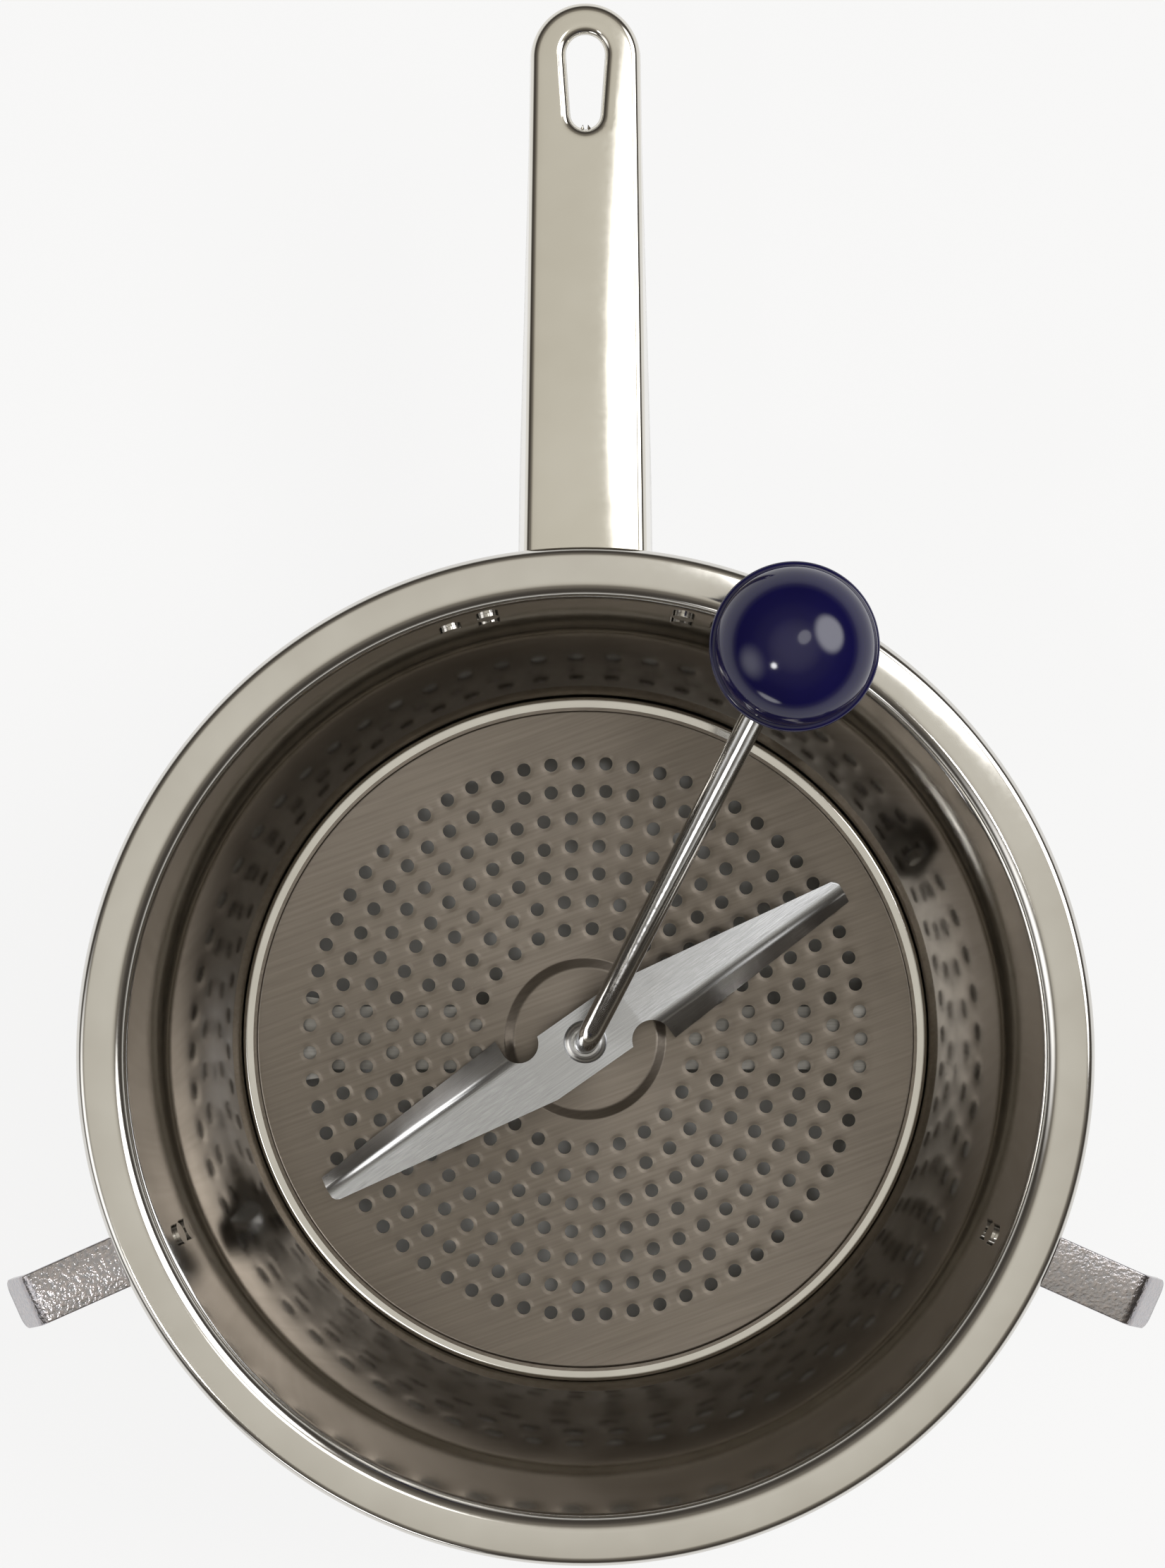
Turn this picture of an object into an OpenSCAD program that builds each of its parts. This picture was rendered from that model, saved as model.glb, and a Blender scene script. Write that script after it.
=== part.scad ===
// Food mill: a pressed bowl on a round collar, with a perforated disc on a ledge and a
// cranked blade that a coil spring and a keyhole bar hold to it. The bowl's axis is the
// Z axis, the collar stands on z = 0, the handle points along +Y. Millimetres.

/* [Bowl] */
// Outer radius over the rolled rim
rim_r = 121; // [118:0.5:128]
// Width of the flat rim, from the wall to where the roll starts
rim_w = 9; // [7:0.5:11]
// Radius of the roll at the rim, to the middle of the sheet
roll_r = 2; // [1.6:0.1:2.4]
// Height of the rim's top face above the standing plane
bowl_h = 88; // [82:1:104]
// How far the wall opens from its belly up to the rim
wall_flare = 7.6; // [5:0.2:11]
// Height of the belly, where the wall turns in to the disc, above the standing plane
belly_h = 37; // [34:0.5:42]
// Bend radius of the belly
belly_bend = 58; // [30:1:62]
// Thickness of the bowl's sheet
bowl_sheet = 0.8; // [0.6:0.05:1]
// Width of the ledge that the disc lies on
ledge_w = 8; // [6.5:0.25:9]
// Outer radius of the collar below the ledge
collar_r = 79; // [76:0.5:80]
// Height of the collar, up to the top of the ledge
collar_h = 16; // [14.5:0.5:24]
// Width of the hem turned in at the collar's foot
hem_w = 3.5; // [2.5:0.25:5]

/* [Disc] */
// Thickness of the disc's sheet
disc_sheet = 0.8; // [0.6:0.05:1]
// Gap between the disc's edge and the foot of the wall
disc_play = 2.5; // [2:0.25:3.5]
// Diameter of a straining hole
hole_d = 3.4; // [1.5:0.1:4.5]
// Distance between neighbouring holes along a ring
hole_pitch = 7; // [6:0.25:10]
// Distance between two rings of holes
ring_pitch = 7; // [6:0.25:10]
// Radius of the innermost ring of holes
first_ring_r = 28; // [24:0.5:34]
// Radius of the raised plain centre
boss_r = 18; // [15:0.5:20]
// Height of the raised centre over the rest of the disc
boss_rise = 1.2; // [0.8:0.1:1.8]
// Height of the turned-up edge
disc_lip = 2; // [1.8:0.1:3]

/* [Crank] */
// Diameter of the crank's round rod
rod_d = 6; // [5:0.1:7]
// Distance from the bowl's axis to the knob's axis
crank_r = 106; // [85:1:112]
// Height of the rod's lower bend over the blade's hub
low_rise = 9.7; // [9.7:0.1:30]
// Radius of the lower bend, to the rod's centre
low_bend = 14; // [10:1:14]
// Radius of the upper bend, to the rod's centre
high_bend = 12; // [10:1:16]
// Direction of the crank at rest, from +X towards the handle
crank_az = 64; // [0:1:360]
// Diameter of the neck turned in the rod's lower end
neck_d = 4; // [3.2:0.1:4.4]
// Length of the button below the neck
button_h = 4; // [3:0.25:5]
// How far the crank can be pressed down against its spring
press_travel = 1.5; // [1:0.1:2]

/* [Blade] */
// Thickness of the blade's sheet
blade_t = 1.5; // [1.2:0.1:1.8]
// Radius that the blade's tips reach
blade_r = 75; // [68:0.5:76]
// Half the length of the flat hub between the two folds
hub_half = 14; // [12:0.5:18]
// Distance from the blade's middle to its back edge at the hub
blade_back = 8; // [7:0.25:10]
// Distance from the blade's middle to the ridge of each wing
ridge_off = 6; // [5:0.25:7]
// Bend radius at the ridge, to the middle of the sheet
ridge_bend = 3; // [2:0.25:4]
// Angle at which a wing falls from the level
wing_fall = 52; // [42:1:62]
// Angle at which each arm slopes down towards its tip
arm_slope = 4; // [2:0.5:5]
// Width of the strip behind the ridge at the tip
tip_w = 3; // [2:0.25:5]
// Radius of the round relief where a wing starts
relief_r = 5; // [3.5:0.25:6]
// Direction of the blade at rest, from +X towards the handle
blade_az = 35; // [0:1:360]

/* [Spring and bar] */
// Installed height of the coil spring
spring_h = 8; // [8:0.25:12]
// Mean radius of the coil
coil_r = 5.4; // [5.2:0.1:6]
// Diameter of the spring's wire
wire_d = 1.2; // [1:0.1:1.3]
// Number of turns in the coil
coil_turns = 4; // [3.5:0.25:4]
// Thickness of the spring's seat ring
seat_t = 0.8; // [0.6:0.1:1.2]
// Width of the retaining bar
bar_w = 16; // [13:0.5:20]
// Thickness of the retaining bar
bar_t = 1.5; // [1.2:0.1:2]
// Clear height between the bar and the disc
bar_drop = 3.5; // [3.3:0.1:5]
// Distance of the keyhole's round end from the bar's middle
keyhole_off = 11; // [9:0.5:14]
// Angle that each hook lug takes up round the collar
lug_angle = 17; // [14:0.5:24]
// Thickness of a lug
lug_t = 1.4; // [1.2:0.1:1.6]
// How far a lug's tab reaches in over the bar
lug_reach = 9; // [7:0.5:12]

/* [Handle] */
// Length of the handle beyond the rim
handle_l = 130; // [105:1:160]
// Width of the handle at the bowl, over its top edges
handle_root_w = 30; // [27:0.5:34]
// Width of the handle at its round tip
handle_tip_w = 26; // [23:0.5:28]
// Depth of the side flanges at the bowl
handle_root_depth = 17; // [14:0.5:20]
// Depth of the rim round the tip
handle_tip_depth = 5; // [4:0.5:7]
// Thickness of the handle's sheet
handle_sheet = 1; // [0.8:0.1:1.4]
// Radius of the rounded edge along the handle's top
handle_edge = 2.2; // [1.8:0.1:3]
// How far each flange leans out over its full depth
handle_draft = 1.6; // [1:0.1:2.2]
// Length of the hang slot
slot_l = 22.4; // [18:0.2:26]
// Width of the hang slot near the tip
slot_w = 9.3; // [7:0.1:10]
// Width of the hang slot near the bowl
slot_low_w = 7.2; // [5:0.1:9]
// Width of the pressed surround of the hang slot
slot_rim = 3.4; // [2.5:0.1:4]
// Depth of the pressed surround of the hang slot
slot_sink = 1.6; // [1:0.1:2]
// Distance from the slot's outer end to the handle's tip
slot_margin = 7.6; // [7:0.1:10]

/* [Handle bracket] */
// Angle that the bracket's strap takes up round the bowl
strap_angle = 42; // [38:1:50]
// Height of the strap
strap_h = 15; // [13:0.5:17]
// Thickness of the bracket's sheet
strap_t = 1.2; // [1:0.1:1.5]
// Length of the tongue that carries the handle
tongue_l = 34; // [25:1:45]
// Depth of the tongue's sides
tongue_depth = 10; // [8:0.5:11]

/* [Legs] */
// Angle of the right leg below the +X axis; the left one mirrors it
leg_angle = 24; // [18:0.5:32]
// How far out beyond the rim a leg is bent down
leg_reach = 23.3; // [19:0.1:44]
// Length of the tip that is bent down
leg_tip_l = 14; // [9:0.5:20]
// Angle at which the tip falls from the level
leg_tip_fall = 65; // [55:1:80]
// Width of a leg
leg_w = 12.8; // [11:0.2:15]
// Thickness of a leg
leg_t = 2; // [1.5:0.1:2.5]
// Height of the tab that a leg is riveted by
leg_tab_h = 18; // [16:0.5:22]

/* [Rivets] */
// Radius of a rivet's shank
rivet_r = 1.5; // [1.2:0.1:1.8]
// Radius of a rivet's head
rivet_head_r = 2.7; // [2.4:0.1:3]
// Height of a rivet's domed head
rivet_head_h = 1.3; // [1:0.1:1.8]

/* [Knob] */
// Diameter of the knob over its lip
knob_d = 38; // [36:0.5:44]
// Height of the knob's lower half
knob_base_h = 20; // [18:0.5:23]
// Height of the domed cap above the lower half
knob_cap_h = 15; // [13:0.5:18]
// Height of the lip that overhangs the lower half
lip_h = 4; // [3:0.25:5]
// How far the lip stands out from the lower half
lip_out = 1.7; // [1.3:0.1:2.2]
// Wall thickness of the knob
knob_wall = 2; // [1.6:0.1:2.4]
// Length of straight stem below the knob
stem_l = 2.5; // [2:0.25:6]

/* [Clearances] */
// Play round a part that turns or slides in a bore
run_fit = 0.06; // [0.02:0.01:0.1]
// Gap between a moving part and its neighbour
free_gap = 0.4; // [0.3:0.05:0.8]
// Gap between two parts that are fixed to each other
seat_gap = 0.05; // [0.02:0.01:0.1]

/* [Hidden] */
$fn = 96;
steps = 7;            // straight pieces in each bent corner of a sheet
hair = 0.01;
lap = 1;              // how far a cutting shape runs past what it cuts

// The bowl's sheet is drawn along its middle line
collar_line = collar_r - bowl_sheet / 2;
collar_in = collar_r - bowl_sheet;
ledge_line = collar_h - bowl_sheet / 2;
foot_r = collar_line + ledge_w;
rim_line = bowl_h - bowl_sheet / 2;
roll_centre = rim_r - bowl_sheet / 2 - roll_r;
neck_r = roll_centre - rim_w;
belly_r = neck_r - wall_flare;
hem_bend = 1.5;
corner_bend = 2;
rim_bend = 4;
roll_turn = 250;
roll_steps = 22;
rim_under = rim_line - 2 * roll_r - bowl_sheet / 2;
wall_slope = (neck_r - belly_r) / (rim_line - belly_h);
wall_lean = atan(wall_slope);

// The disc lies on the ledge; the spring and the blade stack up from it
disc_r = foot_r - bowl_sheet / 2 - disc_play;
disc_line = collar_h + disc_sheet / 2;
disc_top = collar_h + disc_sheet;
boss_top = disc_top + boss_rise;
rod_r = rod_d / 2;
hole_margin = 1.5;    // from the outermost holes to the collar below them
ring_room = collar_in - hole_margin - hole_d / 2 - first_ring_r;
rings = floor(ring_room / ring_pitch) + 1;
seat_z = boss_top + seat_gap;
spring_z = seat_z + seat_t;
seat_rim_h = 2;
seat_ring_r = coil_r + wire_d / 2 + free_gap;
hub_under = spring_z + spring_h;
hub_top = hub_under + blade_t;
blade_low = boss_top + press_travel + free_gap;
arm_l = (blade_r - hub_half) / cos(arm_slope);
wing_l = 30;

// The bar hangs below the disc and carries the button of the rod
bar_top = collar_h - bar_drop;
bar_under = bar_top - bar_t;
neck_top = bar_top + press_travel + free_gap;
button_top = bar_under - seat_gap;
button_under = button_top - button_h;
lug_line_r = collar_in - seat_gap - lug_t / 2;
bar_half = lug_line_r - lug_t / 2 - free_gap;
bar_eye_r = bar_w / 2 + 4;
lug_under = bar_under - 5;

// The crank's rod runs up, then out by four for every three that it rises, then up again
crank_lean = atan(4 / 3);
low_bend_h = hub_top + low_rise;
high_bend_h = low_bend_h + crank_r / tan(crank_lean);
low_tangent = low_bend * tan(crank_lean / 2);
high_tangent = high_bend * tan(crank_lean / 2);
slope_l = crank_r / sin(crank_lean) - low_tangent - high_tangent;
stem_z = high_bend_h + high_tangent;
collar_t = 2;
knob_z = stem_z + stem_l + collar_t + free_gap;

// The knob's two halves turn on the stem
knob_r = knob_d / 2;
base_r = knob_r - lip_out;
knob_foot_r = 5.6;
sleeve_r = 5.4;
sleeve_h = knob_base_h - 4;
knob_floor = 2.4;
retainer_t = 0.8;
retainer_z = knob_z + sleeve_h + free_gap;
stem_top = retainer_z + retainer_t + 1.5;

// The handle, its bracket and the legs hang just below the rolled rim
under_rim = 0.5;
handle_top = rim_under - under_rim;
strap_top = handle_top - 1.5;
strap_line = bowl_sheet / 2 + seat_gap + strap_t / 2;
strap_out = strap_line + strap_t / 2;
leg_top = handle_top - 3;
leg_line = bowl_sheet / 2 + seat_gap + leg_t / 2;
leg_low = leg_top - leg_tab_h;
leg_corner = 3;
leg_bend = 3;
leg_bend_r = rim_r + leg_reach;
handle_tip = rim_r + handle_l;
nose_x = handle_tip - handle_tip_w / 2;
root_x = belly_r - 2;  // inside the wall, which cuts the handle's root
slot_tip_x = handle_tip - slot_margin - slot_w / 2;
slot_low_x = handle_tip - slot_margin - slot_l + slot_low_w / 2;

// Rivets stand square to the wall: each is its azimuth and its height
strap_mid = strap_top - strap_h / 2;
rivet_row = strap_h / 4;
HANDLE_RIVETS = [for (side = [-1, 1], place = [[0.3, 1], [0.3, -1], [0.42, 0]])
    [90 + side * strap_angle * place[0], strap_mid + place[1] * rivet_row]];
LEG_RIVETS = [for (az = [-leg_angle, 180 + leg_angle], place = [0.35, 0.75])
    [az, leg_top - leg_tab_h * place]];

// ---- Bent sheet: a line of corners, each rounded, thickened to both sides ----

function unit(v) = v / norm(v);
function left_of(v) = [-v[1], v[0]];
function turned(v, a) = [v[0] * cos(a) - v[1] * sin(a), v[0] * sin(a) + v[1] * cos(a)];

function arc(centre, r, from, to, n = steps) =
    [for (i = [0:n]) let (a = from + (to - from) * i / n) centre + r * [cos(a), sin(a)]];

function corner(before, at, after, r) =
    let (u = unit(before - at), v = unit(after - at),
         half = acos(u * v) / 2,
         centre = at + unit(u + v) * r / sin(half),
         start = at + u * r / tan(half) - centre,
         end = at + v * r / tan(half) - centre,
         turn = sign(cross(start, end)) * (180 - 2 * half))
    [for (i = [0:steps]) centre + turned(start, turn * i / steps)];

// Each corner is [x, y, bend radius]; the two ends have no radius
function bent(corners) =
    let (p = [for (c = corners) [c[0], c[1]]], last = len(p) - 1)
    [p[0],
     for (i = [1:last - 1]) each corner(p[i - 1], p[i], p[i + 1], corners[i][2]),
     p[last]];

function side(line, d) =
    let (last = len(line) - 1)
    [for (i = [0:last])
        let (a = left_of(unit(line[max(i, 1)] - line[max(i, 1) - 1])),
             b = left_of(unit(line[min(i, last - 1) + 1] - line[min(i, last - 1)])),
             n = unit(a + b))
        line[i] + n * d / (n * a)];

function sheet(line, t) =
    let (right = side(line, -t / 2), last = len(line) - 1)
    concat(side(line, t / 2), [for (i = [0:last]) right[last - i]]);

function rounded_box(w, h, r) =
    [for (q = [0:3])
        let (sx = q == 0 || q == 3 ? 1 : -1, sy = q < 2 ? 1 : -1)
        each arc([sx * (w / 2 - r), sy * (h / 2 - r)], r, q * 90, q * 90 + 90)];

// ---- Bowl ----

// Radius of the wall's middle line at height z, above the belly
function wall_r(z) = belly_r + (z - belly_h) * wall_slope;

// Radius of a line that runs along the wall, d outside its middle, at height z
function beside_wall(z, d) = wall_r(z + d * sin(wall_lean)) + d * cos(wall_lean);

// A local Z axis that points out through the wall at a rivet's place
module out_of_wall(place) {
    rotate([0, 0, place[0]]) translate([wall_r(place[1]), 0, place[1]])
        rotate([0, 90 + wall_lean, 0]) children();
}

module rivet_bore() {
    cylinder(r = rivet_r + seat_gap, h = 20, center = true);
}

bowl_line = concat(
    bent([[collar_line - hem_w, bowl_sheet / 2, 0],
          [collar_line, bowl_sheet / 2, hem_bend],
          [collar_line, ledge_line, corner_bend],
          [foot_r, ledge_line, corner_bend],
          [belly_r, belly_h, belly_bend],
          [neck_r, rim_line, rim_bend],
          [roll_centre, rim_line, 0]]),
    [for (i = [1:roll_steps]) let (a = 90 - roll_turn * i / roll_steps)
        [roll_centre, rim_line - roll_r] + roll_r * [cos(a), sin(a)]]);

module bowl_shell() {
    color("#d5d6d6") difference() {
        rotate_extrude() polygon(sheet(bowl_line, bowl_sheet));
        for (place = concat(HANDLE_RIVETS, LEG_RIVETS)) out_of_wall(place) rivet_bore();
    }
}

// ---- Rivets: a domed head outside, the shank, and a flat closing head inside ----

module rivet(stack) {
    close_h = 0.8;
    inside = bowl_sheet / 2 + seat_gap;
    outside = bowl_sheet / 2 + stack;
    dome_r = (rivet_head_r * rivet_head_r + rivet_head_h * rivet_head_h) / (2 * rivet_head_h);
    dome_start = asin(rivet_head_r / dome_r);
    rotate_extrude() polygon(concat(
        [[0, -inside - close_h], [rivet_head_r, -inside - close_h],
         [rivet_head_r, -inside], [rivet_r, -inside], [rivet_r, outside]],
        arc([0, outside + rivet_head_h - dome_r], dome_r, 90 - dome_start, 90)));
}

module handle_rivets() {
    color("#c9cacb") for (place = HANDLE_RIVETS)
        out_of_wall(place) rivet(strap_t + 2 * seat_gap);
}

module leg_rivets() {
    color("#c9cacb") for (place = LEG_RIVETS)
        out_of_wall(place) rivet(leg_t + 2 * seat_gap);
}

// ---- Handle: a channel pressed from sheet, with a round nose and a hang slot ----

// One level of the handle's outline, in all directions smaller by inset
module handle_level(z, inset) {
    translate([nose_x, 0, z]) cylinder(r = handle_tip_w / 2 - inset, h = hair, $fn = 48);
    translate([root_x, -handle_root_w / 2 + inset, z])
        cube([hair, handle_root_w - 2 * inset, hair]);
}

// The handle as a block: rounded along its top edge, then leaning out as it goes down
module handle_block(top, edge, inset) {
    hull() {
        for (a = [0:22.5:90])
            handle_level(top - edge * (1 - cos(a)), inset + edge * (1 - sin(a)));
        handle_level(top - handle_root_depth - lap, inset - handle_draft);
    }
}

// The hang slot's outline, wider at the tip, grown by extra
module slot_level(z, extra) {
    translate([slot_tip_x, 0, z]) cylinder(r = slot_w / 2 + extra, h = hair, $fn = 48);
    translate([slot_low_x, 0, z]) cylinder(r = slot_low_w / 2 + extra, h = hair, $fn = 48);
}

// Side view of what lies below the flanges' lower edge
module below_flanges() {
    root_low = handle_top - handle_root_depth;
    tip_low = handle_top - handle_tip_depth;
    start = root_x - handle_root_w;
    end = handle_tip + handle_tip_w;
    rotate([90, 0, 0]) linear_extrude(4 * handle_root_w, center = true)
        polygon(concat(
            bent([[start, root_low, 0], [root_x + 40, root_low, 90],
                  [nose_x - 20, tip_low, 60], [end, tip_low, 0]]),
            [[end, root_low - 2 * handle_root_depth], [start, root_low - 2 * handle_root_depth]]));
}

// A cone that fills the bowl out to d beyond the middle of its wall
module inside_wall(d) {
    low = belly_h + 5;
    translate([0, 0, low])
        cylinder(r1 = beside_wall(low, d), r2 = beside_wall(rim_line, d), h = rim_line - low);
}

module handle() {
    color("#d8d8d6") difference() {
        rotate([0, 0, 90]) difference() {
            union() {
                difference() {
                    handle_block(handle_top, handle_edge, 0);
                    handle_block(handle_top - handle_sheet, handle_edge - handle_sheet,
                                 handle_sheet);
                }
                hull() {
                    slot_level(handle_top - hair, slot_rim);
                    slot_level(handle_top - handle_sheet - slot_sink, handle_sheet);
                }
            }
            hull() {
                slot_level(handle_top, slot_rim - handle_sheet / 2);
                slot_level(handle_top - slot_sink, 0);
            }
            hull() {
                slot_level(handle_top - slot_sink - 3 * handle_sheet, 0);
                slot_level(handle_top - slot_sink + hair, 0);
            }
            below_flanges();
        }
        inside_wall(strap_out + seat_gap);
    }
}

// ---- Bracket: a strap riveted round the wall, with a tongue inside the handle ----

// Half the tongue's width, to the middle of its sheet, clear of the handle's taper
tongue_end_x = beside_wall(handle_top, strap_out) + tongue_l;
handle_taper = (handle_root_w - handle_tip_w) / 2 / (nose_x - root_x);
tongue_half = handle_root_w / 2 - (tongue_end_x - root_x) * handle_taper
    - handle_sheet - 3 * seat_gap - strap_t / 2;
tongue_top = handle_top - handle_sheet - seat_gap;

module handle_bracket() {
    strap_low = strap_top - strap_h;
    color("#cfd0d1") difference() {
        union() {
            intersection() {
                rotate([0, 0, 90 - strap_angle / 2]) rotate_extrude(angle = strap_angle)
                    polygon(sheet([[beside_wall(strap_low, strap_line), strap_low],
                                   [beside_wall(strap_top, strap_line), strap_top]], strap_t));
                rotate([90, 0, 180]) translate([0, strap_mid, 0]) linear_extrude(2 * rim_r)
                    polygon(rounded_box(2 * wall_r(strap_mid) * sin(strap_angle / 2),
                                        strap_h - hair, 4));
            }
            difference() {
                rotate([90, 0, 180]) linear_extrude(tongue_end_x)
                    polygon(sheet(bent([
                        [-tongue_half, tongue_top - tongue_depth, 0],
                        [-tongue_half, tongue_top - strap_t / 2, 1.6],
                        [tongue_half, tongue_top - strap_t / 2, 1.6],
                        [tongue_half, tongue_top - tongue_depth, 0]]), strap_t));
                inside_wall(strap_line);
            }
        }
        for (place = HANDLE_RIVETS) out_of_wall(place) rivet_bore();
    }
}

// ---- Legs: a flat strip, riveted by a tab, level, then bent down at its end ----

tip_r = leg_bend_r + leg_tip_l * cos(leg_tip_fall);
tip_z = leg_top - leg_t / 2 - leg_tip_l * sin(leg_tip_fall);

module leg_corners() {
    translate([tip_r, 0, tip_z]) rotate([0, leg_tip_fall, 0])
        for (side = [-1, 1]) scale([1, side, 1]) translate([-leg_corner, leg_w / 2 - leg_corner, 0])
            difference() {
                translate([0, 0, -leg_t]) cube([leg_corner + lap, leg_corner + lap, 2 * leg_t]);
                cylinder(r = leg_corner, h = 5 * leg_t, center = true);
            }
}

module leg(az) {
    level = leg_top - leg_t / 2;
    difference() {
        rotate([0, 0, az]) difference() {
            rotate([90, 0, 0]) linear_extrude(leg_w, center = true)
                polygon(sheet(bent([
                    [beside_wall(leg_low, leg_line), leg_low, 0],
                    [beside_wall(level, leg_line), level, leg_bend],
                    [leg_bend_r, level, leg_bend],
                    [tip_r, tip_z, 0]]), leg_t));
            leg_corners();
        }
        for (place = LEG_RIVETS) out_of_wall(place) rivet_bore();
    }
}

module leg_left() {
    color("#cfcfcf") leg(180 + leg_angle);
}

module leg_right() {
    color("#cfcfcf") leg(-leg_angle);
}

// ---- Milling disc: rings of punched holes round a raised plain centre ----

module milling_disc() {
    boss_line = disc_line + boss_rise;
    boss_bend = 1.5;
    field_in = boss_r + 2 * boss_rise + boss_bend;
    field_out = disc_r - 2;
    color("#bdbcba") {
        rotate_extrude() polygon(sheet(bent([
            [rod_r + run_fit, boss_line, 0],
            [boss_r, boss_line, boss_bend],
            [boss_r + 2 * boss_rise, disc_line, boss_bend],
            [field_in, disc_line, 0]]), disc_sheet));
        for (ring = [0:rings - 1]) {
            ring_r = first_ring_r + ring * ring_pitch;
            count = round(2 * PI * ring_r / hole_pitch);
            translate([0, 0, collar_h]) linear_extrude(disc_sheet) difference() {
                circle(r = ring == rings - 1 ? field_out : ring_r + ring_pitch / 2);
                circle(r = ring == 0 ? field_in : ring_r - ring_pitch / 2);
                for (i = [0:count - 1]) rotate((i + ring / 2) * 360 / count)
                    translate([ring_r, 0]) circle(d = hole_d);
            }
        }
        rotate_extrude() polygon(sheet(bent([
            [field_out, disc_line, 0],
            [disc_r, disc_line, 0.9],
            [disc_r, disc_top + disc_lip, 0]]), disc_sheet));
    }
}

// ---- Retaining bar: its ends hook under the lugs, its keyhole holds the rod's neck ----

module retaining_bar() {
    slot_half = neck_d / 2 + run_fit;
    color("#c4c5c6") translate([0, 0, bar_under]) linear_extrude(bar_t) difference() {
        union() {
            square([2 * bar_half - bar_w, bar_w], center = true);
            intersection() {
                square([2 * bar_half, bar_w], center = true);
                circle(r = bar_half);
            }
            circle(r = bar_eye_r);
            translate([keyhole_off, 0]) circle(r = bar_eye_r - 1);
        }
        circle(r = slot_half);
        translate([0, -slot_half]) square([keyhole_off, 2 * slot_half]);
        translate([keyhole_off, 0]) circle(r = rod_r + free_gap);
    }
}

// A lug is welded to the inside of the collar, with its tab over the bar's end
module bar_lug(az) {
    rotate([0, 0, az - lug_angle / 2]) rotate_extrude(angle = lug_angle)
        polygon(sheet(bent([
            [lug_line_r, lug_under, 0],
            [lug_line_r, bar_top + lug_t / 2, 1.2],
            [lug_line_r - lug_t / 2 - lug_reach, bar_top + lug_t / 2, 0]]), lug_t));
}

module bar_lug_left() {
    color("#b9babb") bar_lug(180);
}

module bar_lug_right() {
    color("#b9babb") bar_lug(0);
}

// ---- Spring and its seat ring, which turn with the crank ----

module spring_seat() {
    color("#c0a35a") rotate_extrude() polygon(sheet(bent([
        [rod_r + run_fit, seat_z + seat_t / 2, 0],
        [seat_ring_r + seat_t / 2, seat_z + seat_t / 2, 0.8],
        [seat_ring_r + seat_t / 2, seat_z + seat_rim_h, 0]]), seat_t));
}

// Height of the wire's centre after a given number of turns: closed at both ends
closed_turns = 0.75;
closed_pitch = wire_d + 0.1;
coil_low = spring_z + seat_gap + wire_d / 2;
coil_high = hub_under - seat_gap - wire_d / 2;
open_rise = coil_high - coil_low - 2 * closed_turns * closed_pitch;
function coil_z(turn) =
    turn < closed_turns ? coil_low + turn * closed_pitch :
    turn > coil_turns - closed_turns ? coil_high - (coil_turns - turn) * closed_pitch :
    coil_low + closed_turns * closed_pitch
        + open_rise * (turn - closed_turns) / (coil_turns - 2 * closed_turns);

module coil_spring() {
    sides = 10;
    rings_per_turn = 24;
    last = round(coil_turns * rings_per_turn);
    points = [for (i = [0:last], k = [0:sides - 1])
        let (turn = i / rings_per_turn, a = 360 * turn, b = 360 * k / sides,
             r = coil_r + wire_d / 2 * cos(b))
        [r * cos(a), r * sin(a), coil_z(turn) + wire_d / 2 * sin(b)]];
    walls = [for (i = [0:last - 1], k = [0:sides - 1])
        let (a = i * sides + k, b = i * sides + (k + 1) % sides)
        each [[a, b, b + sides], [a, b + sides, a + sides]]];
    start = [for (k = [0:sides - 1]) sides - 1 - k];
    end = [for (k = [0:sides - 1]) last * sides + k];
    color("#c79a3e") polyhedron(points, concat([start], walls, [end]));
}

// ---- Crank: one bent rod, from the button under the bar to the top of the stem ----

// A bend that starts upright at the origin and leans towards +X: the part of a ring that
// lies between two planes through its centre. What follows it starts on the second plane
module rod_bend(r) {
    half = r + rod_d;
    translate([r, 0, 0]) {
        intersection() {
            rotate([90, 0, 0]) rotate_extrude() translate([r, 0]) circle(r = rod_r);
            translate([-half, -half, 0]) cube([half, 2 * half, half]);
            rotate([0, crank_lean, 0]) translate([-half, -half, -half])
                cube([half, 2 * half, half]);
        }
        rotate([0, crank_lean, 0]) translate([-r, 0, 0]) children();
    }
}

module crank_rod() {
    chamfer = 0.6;
    low_z = low_bend_h - low_tangent;
    color("#cdced0") rotate([0, 0, crank_az]) {
        rotate_extrude() polygon([
            [0, button_under], [rod_r - chamfer, button_under],
            [rod_r, button_under + chamfer], [rod_r, button_top],
            [neck_d / 2, button_top], [neck_d / 2, neck_top],
            [rod_r, neck_top], [rod_r, low_z], [0, low_z]]);
        translate([0, 0, low_z]) rod_bend(low_bend) {
            cylinder(r = rod_r, h = slope_l);
            translate([0, 0, slope_l]) rotate([0, 0, 180]) rod_bend(high_bend)
                rotate([0, 0, 180]) cylinder(r = rod_r, h = stem_top - stem_z);
        }
    }
}

// The weld round the rod on top of the blade's hub
module rod_weld() {
    weld_w = 2.4;
    color("#a8a9aa") translate([0, 0, hub_top + seat_gap]) rotate_extrude()
        polygon(concat([[rod_r + seat_gap, 0]],
                       arc([rod_r + seat_gap, 0], weld_w, 0, 90)));
}

// ---- Blade: a flat hub and two sloping arms, each with a wing folded down ----

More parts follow.
